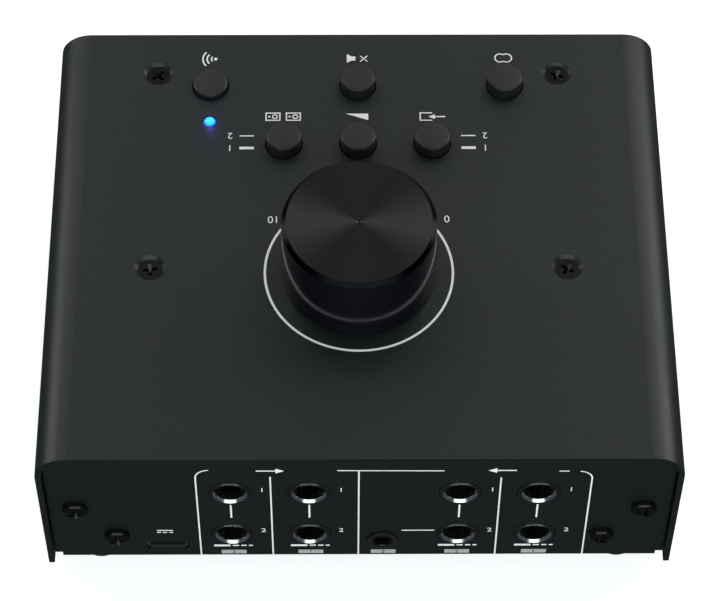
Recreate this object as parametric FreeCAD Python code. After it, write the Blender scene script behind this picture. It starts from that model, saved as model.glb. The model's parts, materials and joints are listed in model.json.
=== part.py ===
import FreeCAD, Part
import math
import os

# Desktop monitor controller: a folded cover over a folded tray, a control board hung under
# the cover, and a connector board on the tray. Millimetres, +Z up, feet standing on Z = 0,
# buttons and user at -Y, rear panel with the sockets at +Y.

V = FreeCAD.Vector
X, Y, Z = V(1, 0, 0), V(0, 1, 0), V(0, 0, 1)

# Case
case_width = 140.0
case_depth = 116.4
cover_height = 45.0
cover_sheet = 1.3
cover_bend = 7.5
tray_sheet = 1.2
tray_bend = 1.8
tray_side_gap = 0.3
tray_top_gap = 0.3
tray_lip_height = 8.0
panel_recess = 1.3
cheek_lift = 0.3
relief_width = 1.6
relief_height = 1.0

# Rubber feet
foot_radius = 5.3
foot_taper = 0.5
foot_height = 2.5
foot_edge_round = 0.6
foot_x = 58.5
foot_edge_inset = 1.0

# Fasteners, M3 throughout
m3_thread = 3.0
m3_shank_gap = 0.05
m3_clearance = 3.4
pan_head_diameter = 5.6
pan_head_height = 1.9
pan_rim_height = 0.7
pan_screw_length = 6.0
board_screw_length = 5.0
pillar_screw_length = 3.6
flat_head_diameter = 5.6
flat_sink_diameter = 6.9
flat_screw_length = 8.0

# Fixing brackets welded inside the cheeks
bracket_sheet = 1.5
bracket_width = 12.0
bracket_height = 12.0
bracket_depth = 15.0
bracket_bend = 2.4
bracket_collar_diameter = 5.2
bracket_collar_length = 1.5
case_screw_inset = 7.5
case_screw_rise = 22.5

# Control board and its hanging posts
post_x = 46.5
post_front_y = -46.5
post_rear_y = 8.5
post_length = 12.0
post_across_flats = 5.5
board_thickness = 1.6
control_board_width = 106.0
control_board_front = 5.5
control_board_rear = 11.5
board_corner = 2.0

# Push buttons
button_diameter = 8.0
button_hole_gap = 0.3
button_proud = 3.4
button_crown = 0.15
button_edge_round = 0.4
button_flange = 0.9
button_flange_height = 0.9
button_skirt_drop = 1.5
button_socket_gap = 0.05
button_socket_depth = 3.2
button_travel = 3.0
button_latch_drop = 1.8
button_outer_x = 34.2
button_inner_x = 17.0
button_front_y = -42.9
button_back_y = -25.9

# Push switches
switch_width = 8.5
switch_floor = 1.0
switch_lid = 0.8
switch_cavity = 4.8
switch_edge = 0.5
plunger_stem = 3.2
plunger_gap = 0.1
plunger_guide_height = 2.0

# Status lamp
led_x = 34.2
led_y = -32.7
led_diameter = 3.0
led_hole_gap = 0.1
led_flange_diameter = 3.8
led_flange_height = 0.8
led_body_height = 4.6
led_proud = 0.5
led_spacer_diameter = 4.6
led_spacer_bore = 2.6
led_lead = 0.5
led_lead_pitch = 1.27

# Volume control
volume_x = 0.0
volume_y = 9.7
pot_diameter = 16.8
pot_wall = 0.9
pot_floor = 1.2
pot_plate = 1.6
pot_plate_width = 17.0
pot_plate_corner = 3.0
bushing_diameter = 7.0
bushing_length = 6.2
bushing_hole_gap = 0.15
shaft_diameter = 6.0
shaft_running_gap = 0.05
shaft_length_above_bushing = 7.0
lug_diameter = 2.4
lug_length = 1.1
lug_radius = 7.0
lug_gap = 0.15
washer_diameter = 11.5
washer_thickness = 0.5
nut_across_flats = 10.0
nut_thickness = 2.0
wiper_gap = 0.5
wiper_thickness = 1.6
wiper_hub_diameter = 8.5
wiper_hub_height = 3.0
wiper_lift = 2.4
pot_pin_count = 6
pot_pin_pitch = 2.5
pot_pin_width = 0.8
pot_pin_thickness = 0.4
pot_pin_reach = 2.2
pot_pin_rise = 3.2

# Volume knob
knob_diameter = 34.0
knob_height = 18.6
knob_gap = 0.6
knob_bevel_width = 1.0
knob_bevel_drop = 0.8
knob_crown = 3.0
knob_wall = 2.6
knob_base_round = 0.3
knob_hub_diameter = 13.0
knob_hub_gap = 0.8
knob_hub_rib = 1.2
knob_hub_ribs = 6
knob_bore_gap = 0.03
pointer_width = 0.9
pointer_depth = 0.35
pointer_length = 3.4
pointer_angle = 210.0
dish_radius = 0.55

# Connector board
board_rise = 1.3
main_board_side_gap = 8.0
main_board_front = -8.0
board_edge_gap = 0.3
pillar_diameter = 6.0
pillar_shank_diameter = 4.2
pillar_side_inset = 5.0
pillar_rear_inset = 13.4
pillar_front_inset = 6.0

# Stacked 6.35 mm jacks
jack_columns = [28.3, 11.05, -21.95, -39.1]
jack_low_rise = 10.85
jack_pitch = 18.0
jack_width = 14.8
jack_top_wall = 6.8
jack_length = 30.8
jack_chamfer = 1.0
jack_waist = 0.8
jack_waist_height = 3.0
jack_waist_setback = 4.0
jack_nose_diameter = 9.0
jack_nose_proud = 0.1
jack_hole_gap = 0.2
jack_panel_gap = 0.3
sleeve_bore = 6.5
sleeve_outer = 8.2
sleeve_length = 8.0
sleeve_proud = 0.25
sleeve_bevel = 0.55
sleeve_seat_gap = 0.03
plug_chamber = 6.9
plug_depth = 31.2
contact_sheet = 0.4
contact_width = 2.2
contact_length = 7.0
contact_clear = 0.15
contact_bulge = 0.7
contact_slot_gap = 0.2
contact_leg_width = 1.2
contact_leg_gap = 0.8
contact_stations = [23.0, 14.0]

# Jack board brackets
board_bracket_gap = 3.5
board_bracket_rise = 10.6
board_bracket_sheet = 1.2
board_bracket_width = 8.0
board_bracket_foot = 8.0
board_bracket_height = 11.5

# 3.5 mm jack
mini_x = -5.2
mini_axis_rise = 4.2
mini_body_width = 8.0
mini_body_height = 7.4
mini_body_length = 12.3
mini_nose_diameter = 6.6
mini_hole_gap = 0.15
mini_nose_proud = 0.5
mini_bore = 3.6
mini_sleeve_outer = 4.6
mini_sleeve_length = 4.5
mini_sleeve_proud = 0.15
mini_chamber = 4.2
mini_depth = 13.6

# USB-C socket
usb_x = 43.0
usb_width = 8.94
usb_height = 3.26
usb_wall = 0.3
usb_length = 7.3
usb_slot_gap = 0.3
usb_mouth_set_back = 0.3
usb_tongue_width = 6.7
usb_tongue_thickness = 0.7
usb_tongue_length = 4.6
usb_core_length = 1.6
usb_core_gap = 0.02

# Parts on the connector board
chip_rows = [(-30.0, 14.0), (-16.0, 14.0), (12.0, 14.0), (26.0, 14.0)]
chip_width = 5.0
chip_length = 4.0
chip_height = 1.5
chip_lead = 0.5
capacitor_diameter = 6.3
capacitor_height = 7.7
capacitor_spots = [(-24.0, 3.0), (-15.0, 3.0), (-6.0, 3.0), (6.0, 3.0), (15.0, 3.0), (24.0, 3.0)]
capacitor_base = 0.8
capacitor_waist = 1.9
capacitor_groove = 0.25
radio_x = 44.0
radio_y = 8.0
radio_width = 13.0
radio_length = 20.0
radio_board = 0.8
radio_can_width = 10.0
radio_can_length = 12.0
radio_can_height = 2.0
radio_can_wall = 0.3
ribbon_x = -46.0
ribbon_lower_y = 4.0
ribbon_shift = 10.0
ribbon_width = 12.0
ribbon_thickness = 0.6
ribbon_plug_width = 15.0
ribbon_plug_depth = 5.0
ribbon_plug_height = 5.8

# Levels that follow from the sizes above
tray_bottom = foot_height
tray_floor = tray_bottom + tray_sheet
cheek_bottom = tray_bottom + cheek_lift
cover_top = cheek_bottom + cover_height
cover_under = cover_top - cover_sheet
cheek_inside = case_width / 2 - cover_sheet
tray_half = cheek_inside - tray_side_gap
panel_out = case_depth / 2 - panel_recess
panel_in = panel_out - tray_sheet
tray_top = cover_under - tray_top_gap
control_top = cover_under - post_length
control_bottom = control_top - board_thickness
main_bottom = tray_floor + board_rise
main_top = main_bottom + board_thickness
jack_levels = [tray_bottom + jack_low_rise, tray_bottom + jack_low_rise + jack_pitch]
jack_front = panel_in - jack_panel_gap
# The board brackets stand just outside the outer jack column
jack_reach = max(abs(x) for x in jack_columns) + jack_width / 2
board_bracket_x = jack_reach + board_bracket_gap + board_bracket_width / 2
nose_face = panel_out + jack_nose_proud
mini_z = main_top + mini_axis_rise
usb_z = main_top + usb_height / 2
case_screw_x = case_width / 2 - case_screw_inset
case_screw_z = tray_bottom + case_screw_rise
main_board_width = case_width - 2 * main_board_side_gap
main_rear = panel_in - board_edge_gap
pillar_x = main_board_width / 2 - pillar_side_inset
pillar_rear_y = main_rear - pillar_rear_inset
pillar_front_y = main_board_front + pillar_front_inset
wiper_diameter = pot_diameter - 2 * (pot_wall + wiper_gap)
board_bracket_z = tray_bottom + board_bracket_rise
# The plunger guide reaches the switch floor just after the button's full travel
switch_cavity_height = plunger_guide_height + button_travel + 2 * plunger_gap
switch_top = control_top + switch_floor + switch_cavity_height + switch_lid
post_spots = [(sx * post_x, y) for sx in (1, -1) for y in (post_front_y, post_rear_y)]
pillar_spots = [(sx * pillar_x, y) for sx in (1, -1) for y in (pillar_front_y, pillar_rear_y)]

# Every button: its name, where it stands and how far it is latched down in the stored pose
buttons = [
    ("wireless", button_outer_x, button_front_y, button_latch_drop),
    ("mute", 0.0, button_front_y, 0.0),
    ("mono", -button_outer_x, button_front_y, 0.0),
    ("monitor", button_inner_x, button_back_y, 0.0),
    ("dim", 0.0, button_back_y, 0.0),
    ("input", -button_inner_x, button_back_y, 0.0),
]


# Shape helpers

def box(x0, x1, y0, y1, z0, z1):
    return Part.makeBox(x1 - x0, y1 - y0, z1 - z0, V(x0, y0, z0))


def block(x, y, width, depth, z0, z1):
    return box(x - width / 2, x + width / 2, y - depth / 2, y + depth / 2, z0, z1)


def rod(diameter, start, direction, length):
    return Part.makeCylinder(diameter / 2, length, start, direction)


def rod_z(diameter, x, y, z0, z1):
    return rod(diameter, V(x, y, z0), Z, z1 - z0)


def rod_y(diameter, x, z, y0, y1):
    return rod(diameter, V(x, y0, z), Y, y1 - y0)


def face_of(points):
    return Part.Face(Part.makePolygon(points + [points[0]]))


def turned(profile, x, y):
    """A solid of revolution about the vertical through x, y from (radius, z) points."""
    ring = face_of([V(r, 0, z) for r, z in profile]).revolve(V(0, 0, 0), Z, 360)
    ring.translate(V(x, y, 0))
    return ring


def turned_y(profile, x, z):
    """The same about the horizontal through x, z from (radius, y) points."""
    ring = face_of([V(r, y, 0) for r, y in profile]).revolve(V(0, 0, 0), Y, 360)
    ring.translate(V(x, 0, z))
    return ring


def hexagon(x, y, across, z0, z1):
    r = across / math.sqrt(3)
    corners = [V(x + r * math.cos(math.radians(60 * k + 30)),
                 y + r * math.sin(math.radians(60 * k + 30)), z0) for k in range(6)]
    return face_of(corners).extrude(V(0, 0, z1 - z0))


def channel(half, base, rim, sheet, bend, place):
    """Face of a folded U: flat at base, two sides up or down to rim, outside bend radius."""
    up = 1 if rim > base else -1
    edges = []
    paths = []
    for h, b, r in ((half, base, bend), (half - sheet, base + up * sheet, bend - sheet)):
        mid = r * (1 - math.sqrt(0.5))
        paths.append([(-h, rim), (-h, b + up * r), (-h + mid, b + up * mid), (-h + r, b),
                      (h - r, b), (h - mid, b + up * mid), (h, b + up * r), (h, rim)])
    outer = [place(*p) for p in paths[0]]
    inner = [place(*p) for p in paths[1]]
    for p in (outer, inner):
        edges.append(Part.LineSegment(p[0], p[1]).toShape())
        edges.append(Part.Arc(p[1], p[2], p[3]).toShape())
        edges.append(Part.LineSegment(p[3], p[4]).toShape())
        edges.append(Part.Arc(p[4], p[5], p[6]).toShape())
        edges.append(Part.LineSegment(p[6], p[7]).toShape())
    edges.append(Part.LineSegment(outer[0], inner[0]).toShape())
    edges.append(Part.LineSegment(outer[7], inner[7]).toShape())
    return Part.Face(Part.Wire(Part.__sortEdges__(edges)))


def round_upright(shape, radius, keep=lambda edge: True):
    """Rounds the upright edges of a plate or block."""
    picked = []
    for edge in shape.Edges:
        a, b = edge.Vertexes[0].Point, edge.Vertexes[-1].Point
        if abs(a.x - b.x) < 1e-6 and abs(a.y - b.y) < 1e-6 and abs(a.z - b.z) > 1e-6 and keep(edge):
            picked.append(edge)
    return shape.makeFillet(radius, picked)


def stadium_y(width, height, x, z, y0, y1):
    """A prism along Y with half-round ends."""
    r = height / 2
    h = width / 2 - r
    body = box(x - h, x + h, y0, y1, z - r, z + r)
    return body.fuse([rod_y(height, x - h, z, y0, y1), rod_y(height, x + h, z, y0, y1)]).removeSplitter()


def joined(shapes):
    out = shapes[0].fuse(shapes[1:]) if len(shapes) > 1 else shapes[0]
    return out.removeSplitter()


def pan_screw(x, z, side, length):
    """A pan head screw along Y, its head on the outside of the front or rear panel."""
    r, shank = pan_head_diameter / 2, m3_thread / 2 - m3_shank_gap
    dome = r - pan_head_height + pan_rim_height
    y0 = panel_out
    head = [(0, y0), (r, y0), (r, y0 + pan_rim_height), (r - 0.18 * dome, y0 + 0.62 * pan_head_height),
            (r - 0.55 * dome, y0 + 0.88 * pan_head_height), (dome * 0.35, y0 + pan_head_height),
            (0, y0 + pan_head_height)]
    screw = joined([turned_y(head, x, z), rod_y(2 * shank, x, z, y0 - length, y0)])
    if side < 0:
        screw = screw.mirror(V(0, 0, 0), Y)
    return screw


def board_screw(x, y, seat, up, length):
    """A pan head screw along Z; up is 1 where the head is above the board."""
    r, shank = pan_head_diameter / 2, m3_thread / 2 - m3_shank_gap
    h = pan_head_height
    head = [(0, seat), (r, seat), (r, seat + up * pan_rim_height), (r - 0.5, seat + up * 0.75 * h),
            (r - 1.3, seat + up * h), (0, seat + up * h)]
    low, high = sorted((seat, seat - up * length))
    return joined([turned(head, x, y), rod_z(2 * shank, x, y, low, high)])


nodes = {}

# Top cover: one sheet, folded down at both sides, open at the front and the rear
cover = channel(case_width / 2, cover_top, cheek_bottom, cover_sheet, cover_bend,
                lambda a, b: V(a, -case_depth / 2, b)).extrude(V(0, case_depth, 0))
cuts = []
sink_r = flat_sink_diameter / 2
for x, y in post_spots:
    cuts.append(turned([(0, cover_top + 0.1), (sink_r + 0.1, cover_top + 0.1),
                        (sink_r - cover_sheet - 0.1, cover_under - 0.1), (0, cover_under - 0.1)], x, y))
for name, x, y, drop in buttons:
    cuts.append(rod_z(button_diameter + 2 * button_hole_gap, x, y, cover_under - 1, cover_top + 1))
cuts.append(rod_z(led_diameter + 2 * led_hole_gap, led_x, led_y, cover_under - 1, cover_top + 1))
for hole, y in ((bushing_diameter + 2 * bushing_hole_gap, volume_y),
                (lug_diameter + 2 * lug_gap, volume_y + lug_radius)):
    cuts.append(rod_z(hole, volume_x, y, cover_under - 1, cover_top + 1))
nodes["top_cover"] = cover.cut(cuts)

# Base tray: floor with a lip along each side, and the front and rear panels folded up from it
floor_reach = panel_out - tray_bend
floor = channel(tray_half, tray_bottom, tray_bottom + tray_lip_height, tray_sheet, tray_bend,
                lambda a, b: V(a, -floor_reach, b)).extrude(V(0, 2 * floor_reach, 0))
folded = channel(panel_out, tray_bottom, tray_top, tray_sheet, tray_bend,
                 lambda a, b: V(-tray_half, a, b)).extrude(V(2 * tray_half, 0, 0))
folded = folded.cut(box(-case_width, case_width, -floor_reach, floor_reach, 0, tray_floor + 1))
tray = floor.fuse(folded).removeSplitter()
inside = box(-tray_half, tray_half, -panel_out, panel_out, tray_bottom, tray_top)
long_edges = [e for e in inside.Edges if abs(e.Vertexes[0].Point.y - e.Vertexes[1].Point.y) > 1
              and e.Vertexes[0].Point.z > tray_top - 1]
tray = tray.common(inside.makeFillet(cover_bend - cover_sheet - tray_side_gap, long_edges))
cuts = []
for sx in (1, -1):
    for sy in (1, -1):
        xs = sorted((sx * (tray_half - relief_width), sx * (tray_half + 1)))
        ys = sorted((sy * (floor_reach - relief_height), sy * (panel_out + 1)))
        cuts.append(box(xs[0], xs[1], ys[0], ys[1], tray_bottom - 1,
                        tray_bottom + tray_bend + relief_height))
        ys = sorted((sy * (panel_in - 1), sy * (panel_out + 1)))
        cuts.append(rod_y(m3_clearance, sx * case_screw_x, case_screw_z, ys[0], ys[1]))
    cuts.append(rod_y(m3_clearance, sx * board_bracket_x, board_bracket_z, panel_in - 1, panel_out + 1))
for x in jack_columns:
    for z in jack_levels:
        cuts.append(rod_y(jack_nose_diameter + 2 * jack_hole_gap, x, z, panel_in - 1, panel_out + 1))
cuts.append(rod_y(mini_nose_diameter + 2 * mini_hole_gap, mini_x, mini_z, panel_in - 1, panel_out + 1))
cuts.append(stadium_y(usb_width + 2 * usb_slot_gap, usb_height + 2 * usb_slot_gap, usb_x, usb_z,
                      panel_in - 1, panel_out + 1))
for x, y in pillar_spots:
    cuts.append(rod_z(pillar_shank_diameter, x, y, tray_bottom - 1, tray_floor + 1))
nodes["base_tray"] = tray.cut(cuts)

# Rubber feet
feet = []
for sx in (1, -1):
    for sy in (1, -1):
        y = sy * (panel_out - foot_edge_inset - foot_radius)
        low = foot_radius - foot_taper
        e = foot_edge_round
        profile = [(0, 0), (low - e, 0), (low - 0.3 * e, 0.3 * e), (low, e),
                   (foot_radius, foot_height), (0, foot_height)]
        feet.append(turned(profile, sx * foot_x, y))
nodes["rubber_feet"] = Part.makeCompound(feet)

# L brackets welded to the inside of the cheeks; the front and rear panels screw to them
brackets = []
for sx in (1, -1):
    for sy in (1, -1):
        r_out, r_in = bracket_bend, bracket_bend - bracket_sheet
        a, b = cheek_inside, panel_in
        mid_out = r_out * (1 - math.sqrt(0.5))
        far = a - bracket_width
        back = b - bracket_depth
        z0 = case_screw_z - bracket_height / 2
        centre = V(a - r_out, b - r_out, z0)
        cos45 = math.sqrt(0.5)
        edges = [
            Part.LineSegment(V(far, b, z0), V(a - r_out, b, z0)),
            Part.Arc(V(a - r_out, b, z0), V(a - mid_out, b - mid_out, z0), V(a, b - r_out, z0)),
            Part.LineSegment(V(a, b - r_out, z0), V(a, back, z0)),
            Part.LineSegment(V(a, back, z0), V(a - bracket_sheet, back, z0)),
            Part.LineSegment(V(a - bracket_sheet, back, z0), V(a - bracket_sheet, b - r_out, z0)),
            Part.Arc(V(a - bracket_sheet, b - r_out, z0),
                     V(centre.x + r_in * cos45, centre.y + r_in * cos45, z0),
                     V(a - r_out, b - bracket_sheet, z0)),
            Part.LineSegment(V(a - r_out, b - bracket_sheet, z0), V(far, b - bracket_sheet, z0)),
            Part.LineSegment(V(far, b - bracket_sheet, z0), V(far, b, z0)),
        ]
        bracket = Part.Face(Part.Wire([e.toShape() for e in edges])).extrude(V(0, 0, bracket_height))
        inner = b - bracket_sheet - bracket_collar_length
        collar = rod_y(bracket_collar_diameter, case_screw_x, case_screw_z, inner, b - bracket_sheet / 2)
        thread = rod_y(m3_thread, case_screw_x, case_screw_z, inner - 1, b + 1)
        bracket = bracket.fuse(collar).cut(thread).removeSplitter()
        if sx < 0:
            bracket = bracket.mirror(V(0, 0, 0), X)
        if sy < 0:
            bracket = bracket.mirror(V(0, 0, 0), Y)
        brackets.append(bracket)
nodes["cover_fixing_brackets"] = Part.makeCompound(brackets)

nodes["case_screws"] = Part.makeCompound(
    [pan_screw(sx * case_screw_x, case_screw_z, sy, pan_screw_length) for sx in (1, -1) for sy in (1, -1)])
nodes["jack_bracket_screws"] = Part.makeCompound(
    [pan_screw(sx * board_bracket_x, board_bracket_z, 1, pan_screw_length) for sx in (1, -1)])

# Hexagon posts that hang the control board, sunk at the top for the screw heads
sink_depth = (flat_sink_diameter - flat_head_diameter) / 2
posts = []
flat_screws = []
hang_screws = []
for x, y in post_spots:
    post = hexagon(x, y, post_across_flats, control_top, cover_under)
    post = post.cut(rod_z(m3_thread, x, y, control_top - 1, cover_under + 1))
    mouth = sink_r - cover_sheet
    r = m3_thread / 2
    post = post.cut(turned([(0, cover_under + 0.01), (mouth + 0.01, cover_under + 0.01),
                            (r, cover_under - mouth + r), (0, cover_under - mouth)], x, y))
    posts.append(post)
    top = cover_top - sink_depth
    shank = m3_thread / 2 - m3_shank_gap
    reach = flat_head_diameter / 2 - shank
    flat_screws.append(turned([(0, top), (flat_head_diameter / 2 - m3_shank_gap, top),
                               (shank, top - reach + m3_shank_gap),
                               (shank, top - flat_screw_length), (0, top - flat_screw_length)], x, y))
    hang_screws.append(board_screw(x, y, control_bottom, -1, board_screw_length))
nodes["control_board_posts"] = Part.makeCompound(posts)
nodes["top_cover_screws"] = Part.makeCompound(flat_screws)
nodes["control_board_screws"] = Part.makeCompound(hang_screws)

# Control board
board = box(-control_board_width / 2, control_board_width / 2, post_front_y - control_board_front,
            post_rear_y + control_board_rear, control_bottom, control_top)
board = round_upright(board, board_corner)
nodes["control_board"] = board.cut([rod_z(m3_clearance, x, y, control_bottom - 1, control_top + 1)
                                    for x, y in post_spots])

# Push switches, their plungers and the button caps
cavity_top = switch_top - switch_lid
switches = []
for name, x, y, drop in buttons:
    body = round_upright(block(x, y, switch_width, switch_width, control_top, switch_top), switch_edge)
    body = body.cut(block(x, y, switch_cavity, switch_cavity, control_top + switch_floor, cavity_top))
    hole = plunger_stem + 2 * plunger_gap
    switches.append(body.cut(block(x, y, hole, hole, cavity_top - 1, switch_top + 1)))

    guide_top = cavity_top - plunger_gap - drop
    cap_bottom = cover_under - button_skirt_drop - drop
    cap_top = cover_top + button_proud - drop
    stem_top = cap_bottom + button_socket_depth
    guide_width = switch_cavity - 2 * plunger_gap
    plunger = block(x, y, guide_width, guide_width, guide_top - plunger_guide_height, guide_top)
    stem = block(x, y, plunger_stem, plunger_stem, guide_top - 0.5, stem_top)
    plunger = plunger.fuse(stem).removeSplitter()
    nodes[name + "_switch_plunger"] = plunger

    r, e = button_diameter / 2, button_edge_round
    wide = r + button_flange
    flange_top = cap_bottom + button_flange_height
    rim = cap_top - button_crown
    flat_r = r - e
    crown_r = (flat_r ** 2 + button_crown ** 2) / (2 * button_crown)
    crown_mid = cap_top - crown_r + math.sqrt(crown_r ** 2 - flat_r ** 2 / 4)
    corner = e * math.sqrt(0.5)
    edges = [
        Part.LineSegment(V(0, 0, cap_bottom), V(wide, 0, cap_bottom)),
        Part.LineSegment(V(wide, 0, cap_bottom), V(wide, 0, flange_top)),
        Part.LineSegment(V(wide, 0, flange_top), V(r, 0, flange_top)),
        Part.LineSegment(V(r, 0, flange_top), V(r, 0, rim - e)),
        Part.Arc(V(r, 0, rim - e), V(flat_r + corner, 0, rim - e + corner), V(flat_r, 0, rim)),
        Part.Arc(V(flat_r, 0, rim), V(flat_r / 2, 0, crown_mid), V(0, 0, cap_top)),
        Part.LineSegment(V(0, 0, cap_top), V(0, 0, cap_bottom)),
    ]
    cap = Part.Face(Part.Wire([s.toShape() for s in edges])).revolve(V(0, 0, 0), Z, 360)
    cap.translate(V(x, y, 0))
    socket = plunger_stem + 2 * button_socket_gap
    cap = cap.cut(block(x, y, socket, socket, cap_bottom - 1, stem_top))
    nodes[name + "_button"] = cap
nodes["push_switch_bodies"] = Part.makeCompound(switches)

# Status lamp on its spacer
dome_r = led_diameter / 2
led_top = cover_top + led_proud
led_base = led_top - led_body_height
flange_r = led_flange_diameter / 2
flange_top = led_base + led_flange_height
lens = turned([(0, led_base), (flange_r, led_base), (flange_r, flange_top), (dome_r, flange_top),
               (dome_r, led_top - dome_r), (0, led_top - dome_r)], led_x, led_y)
dome = Part.makeSphere(dome_r, V(led_x, led_y, led_top - dome_r))
nodes["status_led"] = lens.fuse(dome).removeSplitter()
spacer = rod_z(led_spacer_diameter, led_x, led_y, control_top, led_base)
nodes["status_led_spacer"] = spacer.cut(rod_z(led_spacer_bore, led_x, led_y, control_top - 1, led_base + 1))
lead_spots = [led_x + s * led_lead_pitch / 2 for s in (1, -1)]
nodes["status_led_leads"] = Part.makeCompound(
    [block(x, led_y, led_lead, led_lead, control_top, led_base) for x in lead_spots])

# Volume potentiometer: can, front plate with threaded bushing, rotor, shaft, pins, washer and nut
vx, vy = volume_x, volume_y
plate_bottom = cover_under - pot_plate
bushing_top = cover_under + bushing_length
can = rod_z(pot_diameter, vx, vy, control_top, plate_bottom)
can = can.cut(rod_z(pot_diameter - 2 * pot_wall, vx, vy, control_top + pot_floor, plate_bottom + 1))
nodes["pot_can"] = can
plate = block(vx, vy, pot_plate_width, pot_plate_width, plate_bottom, cover_under)
plate = round_upright(plate, pot_plate_corner)
plate = plate.fuse([rod_z(bushing_diameter, vx, vy, plate_bottom, bushing_top),
                    rod_z(lug_diameter, vx, vy + lug_radius, plate_bottom, cover_under + lug_length)])
bore = shaft_diameter + 2 * shaft_running_gap
nodes["pot_bushing"] = plate.cut(rod_z(bore, vx, vy, plate_bottom - 1, bushing_top + 1)).removeSplitter()
wiper_z = control_top + pot_floor + wiper_lift
shaft_top = bushing_top + shaft_length_above_bushing
nodes["pot_shaft"] = rod_z(shaft_diameter, vx, vy, wiper_z, shaft_top)
wiper = rod_z(wiper_diameter, vx, vy, wiper_z, wiper_z + wiper_thickness)
wiper = wiper.fuse(rod_z(wiper_hub_diameter, vx, vy, wiper_z, wiper_z + wiper_hub_height))
tight_bore = shaft_diameter + 2 * knob_bore_gap
wiper = wiper.cut(rod_z(tight_bore, vx, vy, wiper_z - 1, shaft_top))
nodes["pot_wiper"] = wiper.removeSplitter()
pins = []
for k in range(pot_pin_count):
    px = (k - (pot_pin_count - 1) / 2) * pot_pin_pitch
    wall = math.sqrt((pot_diameter / 2) ** 2 - (abs(px) - pot_pin_width / 2) ** 2)
    out = pot_diameter / 2 + pot_pin_reach
    top = control_top + pot_pin_rise
    x0, x1 = vx + px - pot_pin_width / 2, vx + px + pot_pin_width / 2
    pins.append(joined([box(x0, x1, vy - out, vy - wall, top - pot_pin_thickness, top),
                        box(x0, x1, vy - out, vy - out + pot_pin_thickness, control_top, top)]))
nodes["pot_pins"] = Part.makeCompound(pins)
washer = rod_z(washer_diameter, vx, vy, cover_top, cover_top + washer_thickness)
washer_bore = bushing_diameter + 2 * bushing_hole_gap
washer = washer.cut(rod_z(washer_bore, vx, vy, cover_top - 1, cover_top + 1))
nodes["pot_washer"] = washer
nut_bottom = cover_top + washer_thickness
nut = hexagon(vx, vy, nut_across_flats, nut_bottom, nut_bottom + nut_thickness)
nut_bore = bushing_diameter + 2 * m3_shank_gap
nodes["pot_nut"] = nut.cut(rod_z(nut_bore, vx, vy, nut_bottom - 1, nut_bottom + nut_thickness + 1))

# Volume knob: turned aluminium shell with a bevelled rim and a pointer line, and a moulded hub
kr = knob_diameter / 2
k0 = cover_top + knob_gap
k1 = k0 + knob_height
ceiling = k1 - knob_crown
inner_r = kr - knob_wall
face_r = kr - knob_bevel_width
shell = turned([(inner_r, k0), (kr - knob_base_round, k0), (kr, k0 + knob_base_round),
                (kr, k1 - knob_bevel_drop), (face_r, k1), (dish_radius, k1), (0, k1 - dish_radius / 2),
                (0, ceiling), (inner_r, ceiling)], vx, vy)
pointer = box(-pointer_width / 2, pointer_width / 2, face_r - pointer_length, kr + 1,
              k1 - pointer_depth, k1 + 1)
pointer.rotate(V(0, 0, 0), Z, -pointer_angle)
pointer.translate(V(vx, vy, 0))
nodes["knob_shell"] = shell.cut(pointer)
hub_bottom = bushing_top + knob_hub_gap
hub = rod_z(knob_hub_diameter, vx, vy, hub_bottom, ceiling)
rib_low = ceiling - (ceiling - hub_bottom) / 2
for k in range(knob_hub_ribs):
    rib = box(-knob_hub_rib / 2, knob_hub_rib / 2, knob_hub_diameter / 2 - 1, inner_r - knob_bore_gap,
              rib_low, ceiling)
    rib.rotate(V(0, 0, 0), Z, 360.0 * k / knob_hub_ribs)
    rib.translate(V(vx, vy, 0))
    hub = hub.fuse(rib)
hub = hub.cut(rod_z(tight_bore, vx, vy, hub_bottom - 1, shaft_top + 0.2))
nodes["knob_hub"] = hub.removeSplitter()

# Connector board on its pillars
board = box(-main_board_width / 2, main_board_width / 2, main_board_front, main_rear, main_bottom, main_top)
board = round_upright(board, board_corner)
nodes["main_board"] = board.cut([rod_z(m3_clearance, x, y, main_bottom - 1, main_top + 1)
                                 for x, y in pillar_spots])
pillars = []
pillar_screws = []
for x, y in pillar_spots:
    pillar = rod_z(pillar_diameter, x, y, tray_floor, main_bottom)
    pillar = pillar.fuse(rod_z(pillar_shank_diameter - 2 * m3_shank_gap, x, y, tray_bottom, main_bottom))
    pillars.append(pillar.cut(rod_z(m3_thread, x, y, tray_bottom - 1, main_bottom + 1)).removeSplitter())
    pillar_screws.append(board_screw(x, y, main_top, 1, pillar_screw_length))
nodes["main_board_pillars"] = Part.makeCompound(pillars)
nodes["main_board_screws"] = Part.makeCompound(pillar_screws)

# Brackets that tie the connector board to the rear panel
board_brackets = []
for sx in (1, -1):
    x = sx * board_bracket_x
    leg = block(x, 0, board_bracket_width, board_bracket_sheet, main_top, main_top + board_bracket_height)
    leg.translate(V(0, panel_in - board_bracket_sheet / 2, 0))
    top_edges = [e for e in leg.Edges if abs(e.Vertexes[0].Point.z - e.Vertexes[1].Point.z) < 1e-6
                 and abs(e.Vertexes[0].Point.x - e.Vertexes[1].Point.x) < 1e-6
                 and e.Vertexes[0].Point.z > main_top + 1]
    leg = leg.makeFillet(board_corner, top_edges)
    shoe = box(x - board_bracket_width / 2, x + board_bracket_width / 2, main_rear - board_bracket_foot,
               panel_in - board_bracket_sheet, main_top, main_top + board_bracket_sheet)
    bracket = leg.fuse(shoe).cut(rod_y(m3_thread, x, board_bracket_z, panel_in - 3, panel_in + 1))
    board_brackets.append(bracket.removeSplitter())
nodes["jack_board_brackets"] = Part.makeCompound(board_brackets)

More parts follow.
